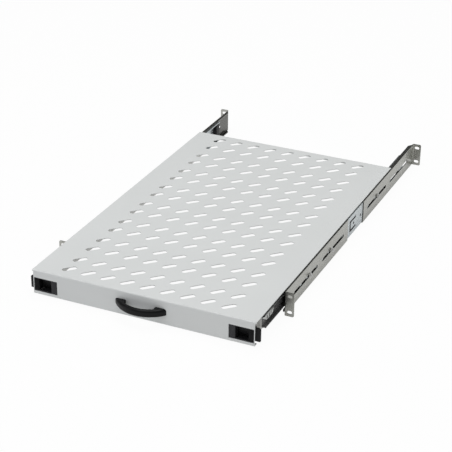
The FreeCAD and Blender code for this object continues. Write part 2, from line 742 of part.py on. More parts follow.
def handle_screws():
    screws = []
    for x in (-handle_screw_x, handle_screw_x):
        seat = Vector(x, panel_back_y, handle_centre_z)
        shank = rod(seat, Vector(0, -tray_sheet - handle_screw_grip, 0), handle_screw_radius)
        head = rod(seat, Vector(0, handle_screw_head_height, 0), handle_screw_head_radius)
        screws.append(shank.fuse(head).removeSplitter())
    return Part.makeCompound(screws)


os.makedirs("parts", exist_ok=True)
pairs_right = (
    ("front_bracket", bracket().cut(keeper_window())),
    ("rear_bracket", rear_of(bracket())),
    ("outer_member", outer_member()),
    ("rear_stop", rear_stop()),
    ("bracket_bolts", bracket_bolts()),
    ("bracket_nuts", nuts(web_outer_x, bolt_nut_height, bolt_nut_across_flats, bolt_radius, bolt_places)),
    ("intermediate_member", middle_member()),
    ("front_bumper", front_bumper()),
    ("outer_ball_cage", ball_cage(outer_ball_depth, outer_ball_height, outer_cage_shift)),
    ("outer_balls", balls(outer_ball_depth, outer_ball_height, outer_cage_shift)),
    ("inner_ball_cage", ball_cage(inner_ball_depth, inner_ball_height, inner_cage_shift)),
    ("inner_balls", balls(inner_ball_depth, inner_ball_height, inner_cage_shift)),
    ("inner_member", inner_member()),
    ("side_rail", side_rail()),
    ("slide_screws", slide_screws()),
    ("slide_nuts", nuts(rail_outer_x - rail_sheet, -slide_nut_height, slide_nut_across_flats,
                        slide_screw_radius, slide_screw_places)),
    ("release_lever", release_lever()),
    ("lever_rivet", lever_rivet()),
    ("latch_housing", latch_housing()),
    ("latch_bolt", latch_bolt()),
    ("latch_spring", latch_spring()),
)
for pair_name, right_shape in pairs_right:
    export_pair(pair_name, right_shape)
export("shelf_tray", shelf_tray())
export("handle", handle())
export("handle_screws", handle_screws())
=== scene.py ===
import json
import math

import bmesh
import bpy
from mathutils import Matrix, Vector


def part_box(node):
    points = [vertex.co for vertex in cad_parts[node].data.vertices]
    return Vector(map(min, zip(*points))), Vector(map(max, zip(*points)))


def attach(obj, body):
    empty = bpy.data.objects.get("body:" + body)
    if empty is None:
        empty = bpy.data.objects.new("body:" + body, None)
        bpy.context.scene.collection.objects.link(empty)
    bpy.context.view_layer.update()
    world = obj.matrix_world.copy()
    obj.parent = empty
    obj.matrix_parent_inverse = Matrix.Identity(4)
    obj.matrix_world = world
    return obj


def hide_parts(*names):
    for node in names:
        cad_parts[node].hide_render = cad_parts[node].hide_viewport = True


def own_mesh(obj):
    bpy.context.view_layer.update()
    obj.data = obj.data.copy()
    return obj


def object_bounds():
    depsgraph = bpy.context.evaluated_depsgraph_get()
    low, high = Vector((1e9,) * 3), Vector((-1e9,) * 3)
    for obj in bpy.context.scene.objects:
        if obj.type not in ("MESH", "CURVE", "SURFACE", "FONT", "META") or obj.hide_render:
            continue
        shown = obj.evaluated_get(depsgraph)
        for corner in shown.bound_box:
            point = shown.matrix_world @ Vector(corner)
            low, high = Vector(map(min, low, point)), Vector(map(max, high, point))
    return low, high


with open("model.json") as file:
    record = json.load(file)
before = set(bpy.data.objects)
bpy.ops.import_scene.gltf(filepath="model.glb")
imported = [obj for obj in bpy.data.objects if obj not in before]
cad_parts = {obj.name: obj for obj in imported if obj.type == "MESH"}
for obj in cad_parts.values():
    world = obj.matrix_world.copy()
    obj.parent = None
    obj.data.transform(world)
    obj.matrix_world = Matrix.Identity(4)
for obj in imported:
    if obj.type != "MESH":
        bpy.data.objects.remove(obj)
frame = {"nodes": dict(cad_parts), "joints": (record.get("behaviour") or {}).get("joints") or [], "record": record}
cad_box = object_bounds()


# The studio: a wide translucent white table that the brackets stand on, lit a little from below, soft lamps
# above, at the front left and at the right, and a dark ceiling that only shows in bare metal, as the real
# flanges show one. The camera stands in front at the right and looks down on the shelf.

scene = bpy.context.scene
scene.view_settings.view_transform = "Standard"


class Shade:
    """A socket of a node tree. Arithmetic on it adds Math nodes, and node adds any other kind."""

    def __init__(self, socket):
        self.socket = socket

    def node(self, kind, settings, values, output=0):
        tree = self.socket.id_data
        made = tree.nodes.new(kind)
        for name, setting in settings.items():
            setattr(made, name, setting)
        for name, value in values.items():
            if isinstance(value, Shade):
                tree.links.new(value.socket, made.inputs[name])
            else:
                made.inputs[name].default_value = value
        return Shade(made.outputs[output])

    def math(self, operation, first, second):
        return self.node("ShaderNodeMath", {"operation": operation}, {0: first, 1: second})

    def __add__(self, other):
        return self.math("ADD", self, other)

    __radd__ = __add__

    def __sub__(self, other):
        return self.math("SUBTRACT", self, other)

    def __rsub__(self, other):
        return self.math("SUBTRACT", other, self)

    def __mul__(self, other):
        return self.math("MULTIPLY", self, other)

    __rmul__ = __mul__

    def __abs__(self):
        return self.math("ABSOLUTE", self, 0.0)

    def larger(self, other):
        return self.math("MAXIMUM", self, other)

    def spread(self, low, high, to_low=0.0, to_high=1.0):
        """Takes the stretch from low to high to the stretch from to_low to to_high, and no further."""
        return self.node("ShaderNodeMapRange", {"clamp": True},
                         {"Value": self, "From Min": low, "From Max": high,
                          "To Min": to_low, "To Max": to_high})

    def fading(self, low, high):
        """1 up to low, and 0 from high on."""
        return self.spread(low, high, 1.0, 0.0)

    def tint(self, first, second):
        """Goes from the first colour to the second as the value goes from 0 to 1."""
        return self.node("ShaderNodeMix", {"data_type": "RGBA"}, {0: self, 6: first, 7: second}, output=2)

    def into(self, shader, socket):
        self.socket.id_data.links.new(self.socket, shader.inputs[socket])


def share_seen(tree, straight, in_metal, scattered):
    """A share for what is seen straight or through glass, one for reflections, one for scattered light."""
    ray = tree.nodes.new("ShaderNodeLightPath")
    seen = Shade(ray.outputs["Is Camera Ray"]).larger(Shade(ray.outputs["Is Transmission Ray"])) * straight
    mirrored = Shade(ray.outputs["Is Glossy Ray"]) * in_metal
    return seen.larger(mirrored).larger(Shade(ray.outputs["Is Diffuse Ray"]) * scattered)


def begin(add, **sizes):
    """Adds a primitive with nothing else selected."""
    bpy.ops.object.select_all(action="DESELECT")
    add(**sizes)
    return bpy.context.object


floor_size = 60.0
floor_grey = (0.8, 0.8, 0.8, 1.0)
floor_roughness = 0.9
floor_white_share = 0.95
floor_share_in_metal = 0.26
floor_glow_share = 0.6

floor = begin(bpy.ops.mesh.primitive_plane_add, size=floor_size, location=(0, 0, cad_box[0].z))
floor.name = "studio_floor"
floor_paint = bpy.data.materials.new("studio_white")
floor_paint.use_nodes = True
floor_nodes = floor_paint.node_tree.nodes
floor_nodes["Principled BSDF"].inputs["Base Color"].default_value = floor_grey
floor_nodes["Principled BSDF"].inputs["Roughness"].default_value = floor_roughness
floor_glow = floor_nodes.new("ShaderNodeEmission")
floor_mix = floor_nodes.new("ShaderNodeMixShader")
floor_share = share_seen(floor_paint.node_tree, floor_white_share, floor_share_in_metal, floor_glow_share)
floor_share.into(floor_mix, 0)
Shade(floor_nodes["Principled BSDF"].outputs[0]).into(floor_mix, 1)
Shade(floor_glow.outputs[0]).into(floor_mix, 2)
Shade(floor_mix.outputs[0]).into(floor_nodes["Material Output"], "Surface")
floor.data.materials.append(floor_paint)

ceiling_height = 4.0
ceiling_grey = (0.10, 0.10, 0.10, 1.0)

ceiling = begin(bpy.ops.mesh.primitive_plane_add, size=floor_size, location=(0, 0, ceiling_height))
ceiling.name = "studio_ceiling"
ceiling_paint = bpy.data.materials.new("studio_dark")
ceiling_paint.use_nodes = True
ceiling_nodes = ceiling_paint.node_tree.nodes
ceiling_glow = ceiling_nodes.new("ShaderNodeEmission")
ceiling_glow.inputs["Color"].default_value = ceiling_grey
Shade(ceiling_glow.outputs[0]).into(ceiling_nodes["Material Output"], "Surface")
ceiling.data.materials.append(ceiling_paint)
ceiling.visible_camera = False
ceiling.visible_diffuse = False
ceiling.visible_transmission = False
ceiling.visible_shadow = False

air_light = 0.4
air_white = (1.0, 1.0, 1.0, 1.0)

world = bpy.data.worlds.new("studio_air")
scene.world = world
world.use_nodes = True
world_nodes = world.node_tree.nodes
world_nodes["Background"].inputs["Color"].default_value = air_white
world_nodes["Background"].inputs["Strength"].default_value = air_light
world_white = world_nodes.new("ShaderNodeBackground")
world_white.inputs["Color"].default_value = air_white
world_mix = world_nodes.new("ShaderNodeMixShader")
share_seen(world.node_tree, straight=1.0, in_metal=1.0, scattered=0.0).into(world_mix, 0)
Shade(world_nodes["Background"].outputs[0]).into(world_mix, 1)
Shade(world_white.outputs[0]).into(world_mix, 2)
Shade(world_mix.outputs[0]).into(world_nodes["World Output"], "Surface")

shelf_middle = (cad_box[0] + cad_box[1]) / 2
white_light = (1.0, 1.0, 1.0)
cool_light = (0.90, 0.92, 1.0)
for lamp_name, lamp_place, lamp_size, lamp_power, lamp_colour in (
        ("top_softbox", (-0.1, 0.2, 3.2), 2.6, 74.5, white_light),
        ("front_softbox", (-1.35, -1.15, 0.65), 0.9, 4.6, cool_light),
        ("side_softbox", (3.4, 0.6, 1.1), 1.6, 6.0, white_light)):
    bpy.ops.object.light_add(type="AREA", location=lamp_place)
    lamp = bpy.context.object
    lamp.name = lamp_name
    lamp.data.shape = "SQUARE"
    lamp.data.size = lamp_size
    lamp.data.energy = lamp_power
    lamp.data.color = lamp_colour
    lamp.rotation_euler = (shelf_middle - Vector(lamp_place)).to_track_quat("-Z", "Y").to_euler()

camera_place = (1.0565, -2.1153, 1.2927)
camera_azimuth = 24.21
camera_elevation = 26.637
camera_roll = 0.669
camera_lens = 115.97
camera_sensor = 36.0
camera_reach = 200.0

bpy.ops.object.camera_add(location=camera_place)
camera = bpy.context.object
camera.data.lens = camera_lens
camera.data.sensor_width = camera_sensor
camera.data.clip_end = camera_reach
camera.rotation_euler = (Matrix.Rotation(math.radians(camera_azimuth), 3, "Z")
                         @ Matrix.Rotation(math.radians(90 - camera_elevation), 3, "X")
                         @ Matrix.Rotation(math.radians(camera_roll), 3, "Z")).to_euler()
scene.camera = camera


# The four mounting brackets: C-channels folded from hot-dip galvanised strip, each with an ear for the post.
# The zinc is a dull warm grey, with a faint crystal pattern and rolling marks; punched slot walls are bare,
# painted near-black shade.
# The channels are painted darker on the inside, and less on their flanges: painted shade.

mm = 0.001
sides = ("left", "right")


def new_finish(name, settings):
    """A material with its fixed settings, its shader, and the Object coordinates for its patterns."""
    material = bpy.data.materials.new(name)
    material.use_nodes = True
    surface = material.node_tree.nodes["Principled BSDF"]
    for socket, value in settings.items():
        surface.inputs[socket].default_value = value
    place = Shade(material.node_tree.nodes.new("ShaderNodeTexCoord").outputs["Object"])
    return material, surface, place


def stretched(place, factors):
    return place.node("ShaderNodeMapping", {}, {"Vector": place, "Scale": factors})


def noise(place, scale, detail=2.0):
    return place.node("ShaderNodeTexNoise", {}, {"Vector": place, "Scale": scale, "Detail": detail})


def bumped(surface, height, strength, distance):
    height.node("ShaderNodeBump", {}, {"Height": height, "Strength": strength,
                                       "Distance": distance}).into(surface, "Normal")


def along_axis(place, axis):
    return place.node("ShaderNodeSeparateXYZ", {}, {"Vector": place}, output=axis)


def punched(place, inner, outer, half_height, front, rear):
    """1 on the walls of what was punched in a web, between the web's two faces, where bare steel and painted shade
    go.
    """
    fade = 0.2 * mm
    across, along, height = abs(along_axis(place, "X")), along_axis(place, "Y"), abs(along_axis(place, "Z"))
    between = across.spread(inner, inner + fade) * across.fading(outer - fade, outer)
    within = along.spread(front - fade, front) * along.fading(rear, rear + fade)
    return between * within * height.fading(half_height, half_height + fade)


def galvanised(name, light, dark, roughness, metallic):
    """Zinc-dipped steel: crystals of about a centimetre, soft clouds, and the lines of the rolling mill.

    Also gives the shader, the coordinates and the colour, which is still to be linked.
    """
    material, surface, place = new_finish(name, {"Metallic": metallic})
    crystals = place.node("ShaderNodeTexVoronoi", {}, {"Vector": place, "Scale": 110.0}, output="Color")
    crystal = crystals.node("ShaderNodeSeparateColor", {}, {"Color": crystals})
    rolling = noise(stretched(place, (0.03, 0.03, 1.0)), scale=900.0)
    cloud = noise(place, scale=14.0, detail=3.0)
    (cloud * 0.1 + crystal * 0.05 + roughness).into(surface, "Roughness")
    bumped(surface, rolling + crystal * 0.3, strength=0.03, distance=0.2 * mm)
    return material, surface, place, (crystal * 0.15 + cloud * 0.7 + rolling * 0.15).tint(dark, light)


def dress(material, *names):
    """Gives CAD nodes a material in place of the plain one that they were loaded with."""
    for name in names:
        for place in frame["nodes"][name].material_slots:
            place.material = material


def both(*names):
    return [f"{side}_{name}" for side in sides for name in names]


bracket_light = (0.49, 0.49, 0.455, 1.0)
bracket_dark = (0.37, 0.375, 0.35, 1.0)
bare_and_shaded_edge = (0.06, 0.06, 0.058, 1.0)
bracket_web = {"inner": 222.7 * mm, "outer": 224.2 * mm, "half_height": 21 * mm,
               "front": 6 * mm, "rear": 729 * mm}
shaded_inside_zinc = (0.10, 0.10, 0.094, 1.0)
shade_on_flanges, shade_on_web = 0.4, 0.88
shade_edge = 0.2 * mm

bracket_zinc, surface, place, colour = galvanised("galvanised_bracket", bracket_light, bracket_dark,
                                                  roughness=0.2, metallic=1.0)
across = abs(along_axis(place, "X"))
web_inside = bracket_web["inner"]
# Painted shade: the inside face of the web is painted much darker, and the flanges less.
inside_shade = (across.spread(web_inside - 2 * shade_edge, web_inside - shade_edge, shade_on_flanges, shade_on_web)
       * across.fading(web_inside + shade_edge, web_inside + 2 * shade_edge))
# Bare steel on the slot walls, painted near black, which is partly painted shade.
with_bare_edges = punched(place, **bracket_web).tint(colour, bare_and_shaded_edge)
inside_shade.tint(with_bare_edges, shaded_inside_zinc).into(surface, "Base Color")
dress(bracket_zinc, *both("front_bracket", "rear_bracket"))


# The outer slide members, roll-formed from steel strip and bright zinc plated with a bluish passivation.
# Three bolts clamp each one inside its two brackets. Painted shade darkens the web round the C-shaped
# cut in it, which frees a spring tab, and round the two pilot holes.

zinc_light = (0.67, 0.715, 0.73, 1.0)
zinc_dark = (0.55, 0.59, 0.605, 1.0)
outer_web = {"inner": 221.5 * mm, "outer": 222.7 * mm, "half_height": 12.5 * mm,
             "front": 73 * mm, "rear": 667 * mm}
tab_front, tab_rear = 338 * mm, 370 * mm
tab_half_height = 11 * mm
tab_cut = 2.2 * mm
pilot_places = (359 * mm, 399 * mm)
pilot_radius = 2 * mm
cut_shade = (0.03, 0.032, 0.033, 1.0)
cut_shade_reach = 2 * mm
cut_shade_thin, cut_shade_thick = 0.2, 0.6

zinc, surface, place = new_finish("bright_zinc_plate", {"Metallic": 0.9})
rolling = noise(stretched(place, (1.0, 0.02, 1.0)), scale=1100.0)
cloud = noise(place, scale=22.0, detail=4.0)
plating = (cloud * 0.7 + rolling * 0.3).tint(zinc_dark, zinc_light)
along, height = along_axis(place, "Y"), abs(along_axis(place, "Z"))
half_cut = tab_cut / 2
# Painted shade round the C-shaped cut and the pilot holes, which widens their dark lines.
legs = (abs(height - (tab_half_height - half_cut)).fading(half_cut, half_cut + cut_shade_reach)
        * along.spread(tab_front - cut_shade_reach, tab_front) * along.fading(tab_rear, tab_rear + cut_shade_reach))
back = (abs(along - (tab_front + half_cut)).fading(half_cut, half_cut + 2 * cut_shade_reach)
        * height.fading(tab_half_height, tab_half_height + cut_shade_reach))
cut_shade_mask = legs.larger(back)
flattened = stretched(place, (0.0, 1.0, 1.0))
for pilot_y in pilot_places:
    from_pilot = place.node("ShaderNodeVectorMath", {"operation": "DISTANCE"},
                            {0: flattened, 1: (0.0, pilot_y, 0.0)}, output="Value")
    cut_shade_mask = cut_shade_mask.larger(from_pilot.fading(pilot_radius, pilot_radius + cut_shade_reach))
# Bare steel on the cut and hole walls, painted near black, which is partly painted shade.
with_bare_edges = punched(place, **outer_web).tint(plating, bare_and_shaded_edge)
cut_shade_mask.spread(cut_shade_thin, cut_shade_thick).tint(with_bare_edges, cut_shade).into(surface, "Base Color")
(rolling * 0.14 + cloud * 0.1 + 0.24).into(surface, "Roughness")
bumped(surface, rolling, strength=0.08, distance=0.1 * mm)
dress(zinc, *both("outer_member"))


# The rear stops, moulded in black glass-filled plastic and pushed into the rear end of the outer members.
# Their corners are rounded by the mould and the skin has a fine eroded grain.

record = frame["record"]
body_of = {node: body for body, nodes in record["behaviour"]["bodies"].items() for node in nodes}
merge_distance = 0.002 * mm


def only(piece):
    bpy.ops.object.select_all(action="DESELECT")
    piece.select_set(True)
    bpy.context.view_layer.objects.active = piece


def stand_for(piece, node, material):
    """Puts a finished piece on the body of its CAD node, in that node's place, with the given material, and hides
    the node.
    """
    piece.data.materials.clear()
    piece.data.materials.append(material)
    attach(piece, body_of[node])
    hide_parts(node)


def mould(node, radius, material):
    """Puts a copy of a moulded CAD node in its place, with the corners rounded as a mould leaves them."""
    piece = bpy.data.objects.new(f"{node}_moulded", frame["nodes"][node].data.copy())
    scene.collection.objects.link(piece)
    only(piece)
    bpy.ops.mesh.customdata_custom_splitnormals_clear()
    bpy.ops.object.mode_set(mode="EDIT")
    bpy.ops.mesh.select_all(action="SELECT")
    bpy.ops.mesh.remove_doubles(threshold=merge_distance)
    bpy.ops.mesh.dissolve_limited(angle_limit=math.radians(0.5))
    bpy.ops.object.mode_set(mode="OBJECT")
    rounding = piece.modifiers.new("rounding", "BEVEL")
    rounding.width = radius
    rounding.segments = 2
    rounding.limit_method = "ANGLE"
    rounding.angle_limit = math.radians(40)
    bpy.ops.object.modifier_apply(modifier="rounding")
    bpy.ops.object.shade_smooth_by_angle(angle=math.radians(35))
    stand_for(piece, node, material)


def moulding(name, dark, light, roughness, gloss=0.3):
    """Black plastic with clouds in its colour and sheen, and a grain of a third of a millimetre."""
    material, surface, place = new_finish(name, {"Specular IOR Level": gloss})
    cloud = noise(place, scale=60.0, detail=3.0)
    cloud.tint(dark, light).into(surface, "Base Color")
    (cloud * 0.14 + roughness).into(surface, "Roughness")
    bumped(surface, noise(place, scale=2600.0, detail=1.0), strength=0.25, distance=0.05 * mm)
    return material


stop_dark = (0.010, 0.010, 0.011, 1.0)
stop_light = (0.019, 0.019, 0.020, 1.0)
stop_rounding = 0.5 * mm

slide_plastic = moulding("slide_plastic", stop_dark, stop_light, roughness=0.46)
for node in both("rear_stop"):
    mould(node, stop_rounding, slide_plastic)


# Bolts and nuts that clamp the outer members in the brackets' slots: rolled thread, flat round head with a
# cross recess on the inside, and a chamfered hexagon nut on the outside. The bolts are bright zinc plated,
# the nuts dull.


def select(piece, kind, chosen):
    """In edit mode, selects the vertices or faces for which chosen is true, and no others."""
    bpy.ops.mesh.select_mode(type=kind)
    bpy.ops.mesh.select_all(action="DESELECT")
    mesh = bmesh.from_edit_mesh(piece.data)
    for part in {"VERT": mesh.verts, "FACE": mesh.faces}[kind]:
        part.select_set(chosen(part))
    bmesh.update_edit_mesh(piece.data)


def close_up():
    """In edit mode, makes all faces point outwards, and goes back to object mode."""
    bpy.ops.mesh.select_all(action="SELECT")
    bpy.ops.mesh.normals_make_consistent(inside=False)
    bpy.ops.object.mode_set(mode="OBJECT")


def turned(stations, corners=32):
    """A turned shape about +Z, from the heights and radii of its outline, closed at both ends."""
    height, radius = stations[0]
    piece = begin(bpy.ops.mesh.primitive_circle_add, vertices=corners, radius=radius, fill_type="NGON")
    bpy.ops.object.mode_set(mode="EDIT")
    bpy.ops.transform.translate(value=(0, 0, height))
    for next_height, next_radius in stations[1:]:
        bpy.ops.mesh.extrude_region_move(TRANSFORM_OT_translate={"value": (0, 0, next_height - height)})
        factor = next_radius / radius
        bpy.ops.transform.resize(value=(factor, factor, 1), center_override=(0, 0, next_height))
        height, radius = next_height, next_radius
    close_up()
    return piece


def combine(piece, tool, operation):
    """Unites a piece with a second shape, cuts that shape out of it or keeps what they share."""
    only(piece)
    change = piece.modifiers.new(operation, "BOOLEAN")
    change.operation = operation
    change.object = tool
    bpy.ops.object.modifier_apply(modifier=operation)
    bpy.data.objects.remove(tool)
    bpy.ops.object.mode_set(mode="EDIT")
    bpy.ops.mesh.select_all(action="SELECT")
    bpy.ops.mesh.remove_doubles(threshold=merge_distance)
    bpy.ops.mesh.dissolve_degenerate(threshold=merge_distance)
    bpy.ops.object.mode_set(mode="OBJECT")


def wind(outline, pitch, count, steps, join_within):
    """Winds an outline in the XZ plane round +Z, and leaves it in edit mode with all of it selected."""
    turns = outline.modifiers.new("turns", "SCREW")
    turns.screw_offset = pitch
    turns.iterations = count
    turns.steps = turns.render_steps = steps
    bpy.ops.object.modifier_apply(modifier="turns")
    bpy.ops.object.mode_set(mode="EDIT")
    bpy.ops.mesh.select_all(action="SELECT")
    bpy.ops.mesh.remove_doubles(threshold=join_within)


def threaded(radius, pitch, low, high):
    """A rod with a screw thread along +Z, cut off square at both ends."""
    depth = 0.6 * pitch
    spare_turns = 2
    piece = begin(bpy.ops.mesh.primitive_circle_add, vertices=4, radius=pitch / 2)
    bpy.ops.object.mode_set(mode="EDIT")
    select(piece, "VERT", lambda vertex: vertex.co.x < -pitch / 4)
    bpy.ops.mesh.delete(type="VERT")
    bpy.ops.mesh.select_all(action="SELECT")
    bpy.ops.transform.resize(value=(2 * depth / pitch, 1, 1), center_override=(0, 0, 0))
    bpy.ops.transform.rotate(value=math.pi / 2, orient_axis="X", center_override=(0, 0, 0))
    bpy.ops.transform.translate(value=(radius - depth, 0, low - spare_turns * pitch))
    bpy.ops.object.mode_set(mode="OBJECT")
    wind(piece, pitch, math.ceil((high - low) / pitch) + 2 * spare_turns, steps=20, join_within=0.01 * pitch)
    for end, keep_above in ((low, True), (high, False)):
        bpy.ops.mesh.select_all(action="SELECT")
        bpy.ops.mesh.bisect(plane_co=(0, 0, end), plane_no=(0, 0, 1), use_fill=True, clear_inner=keep_above,
                            clear_outer=not keep_above, threshold=0.001 * pitch)
    close_up()
    return piece


def cross_screw(head_radius, head_height, radius, pitch, length):
    """A screw along +Z: pan head below its seat at 0, with a cross recess, and a thread up to its length."""
    rounding = 0.6 * head_height
    recess_depth = 0.7 * head_height
    wing_length, wing_width = 1.1 * head_radius, 0.22 * head_radius
    wing_taper = (0.55, 0.6, 1)
    thread_in_head = 0.3 * head_height
    arc = [math.radians(turn) for turn in (90, 72, 54, 36, 18, 0)]
    rim = [(-head_height + rounding * (1 - math.sin(turn)), head_radius - rounding * (1 - math.cos(turn)))
           for turn in arc]
    screw = turned(rim + [(0, head_radius)])
    for turn in (0, math.pi / 2):
        wing = begin(bpy.ops.mesh.primitive_cube_add, size=1.0)
        bpy.ops.object.mode_set(mode="EDIT")
        bpy.ops.transform.resize(value=(wing_length, wing_width, 2 * recess_depth), center_override=(0, 0, 0))
        select(wing, "FACE", lambda face: face.normal.z > 0.5)
        bpy.ops.transform.resize(value=wing_taper, center_override=(0, 0, recess_depth))
        bpy.ops.mesh.select_all(action="SELECT")
        bpy.ops.transform.rotate(value=turn, orient_axis="Z", center_override=(0, 0, 0))
        bpy.ops.transform.translate(value=(0, 0, -head_height))
        bpy.ops.object.mode_set(mode="OBJECT")
        combine(screw, wing, "DIFFERENCE")
    combine(screw, threaded(radius, pitch, -thread_in_head, length), "UNION")
    return screw


def hexagon_nut(across_flats, height, bore):
    """A nut along +Z from its seat at 0, chamfered at both ends, with a countersunk bore."""
    corner = across_flats / math.sqrt(3)
    face = 0.475 * across_flats
    clear = 1.02 * corner
    chamfer = (clear - face) * math.tan(math.radians(30))
    sink = 0.12 * bore
    cone_corners = 48
    nut = begin(bpy.ops.mesh.primitive_cylinder_add, vertices=6, radius=corner, depth=height,
                location=(0, 0, height / 2))
    bpy.ops.object.transform_apply()
    cone = turned([(0, face), (chamfer, clear), (height - chamfer, clear), (height, face)], cone_corners)
    # Turned by half a step, so that no edge of the cone meets a corner of the nut
    cone.rotation_euler.z = math.pi / cone_corners
    combine(nut, cone, "INTERSECT")
    combine(nut, turned([(-sink, bore + 2 * sink), (sink, bore), (height - sink, bore),
                         (height + sink, bore + 2 * sink)]), "DIFFERENCE")
    return nut


def middles(node, axis):
    """The middles, along one axis, of the solids in a CAD node that holds several."""
    gap = 20 * mm
    values = sorted(vertex.co[axis] for vertex in frame["nodes"][node].data.vertices)
    starts = [0] + [i for i in range(1, len(values)) if values[i] - values[i - 1] > gap]
    ends = starts[1:] + [len(values)]
    return [(values[start] + values[end - 1]) / 2 for start, end in zip(starts, ends)]


def set_in(model, name, places, towards):
    """Copies a fastener to its places, turned from +Z to another direction, and joins the copies."""
    turn = Vector((0, 0, 1)).rotation_difference(Vector(towards)).to_euler()
    copies = []
    for place in places:
        copy = bpy.data.objects.new(name, model.data.copy())
        scene.collection.objects.link(copy)
        copy.location = place
        copy.rotation_euler = turn
        copies.append(copy)
    only(copies[0])
    for copy in copies:
        copy.select_set(True)
    bpy.ops.object.join()
    bpy.ops.object.transform_apply()
    bpy.ops.object.shade_smooth_by_angle(angle=math.radians(30))
    return copies[0]


def fasten(model, node, ending, seat, direction, material):
    """Sets fasteners in their node's places along a slide, seated at one X and pointing along X."""
    places = [(seat, y, 0) for y in middles(node, 1)]
    stand_for(set_in(model, f"{node}_{ending}", places, (direction, 0, 0)), node, material)


def outwards(side):
    return -1 if side == "left" else 1


def outer_and_inner(node, side):
    """The X of a node's ends away from the shelf's middle and towards it."""
    low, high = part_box(node)
    return (high.x, low.x) if side == "right" else (low.x, high.x)


def plated(name, light, dark, metallic, roughness, clouds, grain, strength, depth):
    """Plated steel. Clouds and grain are a noise's scale and detail, strength and depth the relief."""
    material, surface, place = new_finish(name, {"Metallic": metallic})
    cloud = noise(place, *clouds)
    cloud.tint(dark, light).into(surface, "Base Color")
    (cloud * 0.15 + roughness).into(surface, "Roughness")
    bumped(surface, noise(place, *grain), strength, depth)
    return material


fastener_steel = plated("bright_zinc_fasteners", light=(0.62, 0.63, 0.63, 1.0), dark=(0.45, 0.46, 0.46, 1.0),
                        metallic=1.0, roughness=0.2, clouds=(240.0, 3.0), grain=(3000.0, 1.0),
                        strength=0.06, depth=0.03 * mm)
nut_zinc = plated("dull_zinc_nuts", light=(0.74, 0.74, 0.72, 1.0), dark=(0.62, 0.62, 0.60, 1.0),
                  metallic=0.35, roughness=0.38, clouds=(240.0, 3.0), grain=(2400.0, 1.0),
                  strength=0.1, depth=0.04 * mm)

bolt_head_height = 1.5 * mm
bolt_radius = 2.45 * mm
bolt_pitch = 0.8 * mm
thread_play = 0.05 * mm

bolt_low, bolt_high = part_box("right_bracket_bolts")
nut_low, nut_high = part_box("right_bracket_nuts")
bolt = cross_screw((bolt_high.z - bolt_low.z) / 2, bolt_head_height, bolt_radius, bolt_pitch,
                   bolt_high.x - bolt_low.x - bolt_head_height)
nut = hexagon_nut(nut_high.z - nut_low.z, nut_high.x - nut_low.x, bolt_radius + thread_play)
for side in sides:
    node = f"{side}_bracket_bolts"
    seat = outer_and_inner(node, side)[1] + outwards(side) * bolt_head_height
    fasten(bolt, node, "threaded", seat, outwards(side), fastener_steel)
    node = f"{side}_bracket_nuts"
    fasten(nut, node, "chamfered", outer_and_inner(node, side)[1], outwards(side), nut_zinc)
for model in (bolt, nut):
    bpy.data.objects.remove(model)


# The intermediate slide members, roll-formed and black electro-coated, with a moulded bumper at the front.
# The coat is thin and half glossy, with dull streaks along the length.


def electro_coat(name, black, streaked):
    """A dark coat, with its shader, its coordinates and its colour, which is still to be linked."""
    material, surface, place = new_finish(name, {"Specular IOR Level": 0.5})
    streak = noise(stretched(place, (1.0, 0.02, 1.0)), scale=700.0)
    (streak * 0.2 + 0.22).into(surface, "Roughness")
    bumped(surface, streak, strength=0.04, distance=0.1 * mm)
    return material, surface, place, streak.spread(0.35, 0.75).tint(black, streaked)


coat_black = (0.024, 0.024, 0.025, 1.0)
coat_streak = (0.050, 0.050, 0.051, 1.0)
bumper_rounding = 0.4 * mm

black_coat, surface, place, colour = electro_coat("black_electro_coat", coat_black, coat_streak)
colour.into(surface, "Base Color")
dress(black_coat, *both("intermediate_member"))
for node in both("front_bumper"):
    mould(node, bumper_rounding, slide_plastic)


# The balls that the members run on, and the pressed steel strips that keep them apart.
# The balls are polished and the strips are lightly oiled.

strip_light = (0.52, 0.52, 0.50, 1.0)
strip_dark = (0.36, 0.36, 0.345, 1.0)
ball_light = (0.72, 0.72, 0.72, 1.0)
ball_dark = (0.62, 0.62, 0.63, 1.0)

strip_steel, surface, place = new_finish("oiled_strip_steel", {"Metallic": 1.0})
rolling = noise(stretched(place, (1.0, 0.03, 1.0)), scale=1300.0)
rolling.tint(strip_dark, strip_light).into(surface, "Base Color")
noise(place, scale=120.0, detail=3.0).spread(0.3, 0.7, 0.22, 0.4).into(surface, "Roughness")
bumped(surface, rolling, strength=0.08, distance=0.1 * mm)
dress(strip_steel, *both("outer_ball_cage", "inner_ball_cage"))

ball_steel, surface, place = new_finish("polished_balls", {"Metallic": 1.0})
cloud = noise(place, scale=900.0)
cloud.tint(ball_dark, ball_light).into(surface, "Base Color")
cloud.spread(0.3, 0.7, 0.06, 0.14).into(surface, "Roughness")
dress(ball_steel, *both("outer_balls", "inner_balls"))


# The inner slide members, roll-formed as the others are, which carry the tray's side rails. Their coat is a
# thinner, greyer black, with painted light in patches over the last inch at the front, out of the tray's shade.

thin_black = (0.075, 0.075, 0.076, 1.0)
thin_streak = (0.125, 0.125, 0.125, 1.0)
front_light_grey = (0.17, 0.17, 0.166, 1.0)
front_light_length = 30 * mm
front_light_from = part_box("right_inner_member")[0].y

inner_coat, surface, place, colour = electro_coat("thin_electro_coat", thin_black, thin_streak)
# Painted light: patches over the front inch are painted lighter, where the front end leaves the shade under the
# tray.
painted_front_light = (along_axis(place, "Y").fading(front_light_from, front_light_from + front_light_length)
       * noise(place, scale=90.0, detail=3.0).spread(0.2, 0.5))
painted_front_light.tint(colour, front_light_grey).into(surface, "Base Color")
dress(inner_coat, *both("inner_member"))


# The side rails under the tray, folded from thinner galvanised sheet and welded to the tray's underside.
# Their zinc is painted lighter than the brackets', as painted light against the shade under the tray, but
# the front end, which stands beside the tray, is darker.

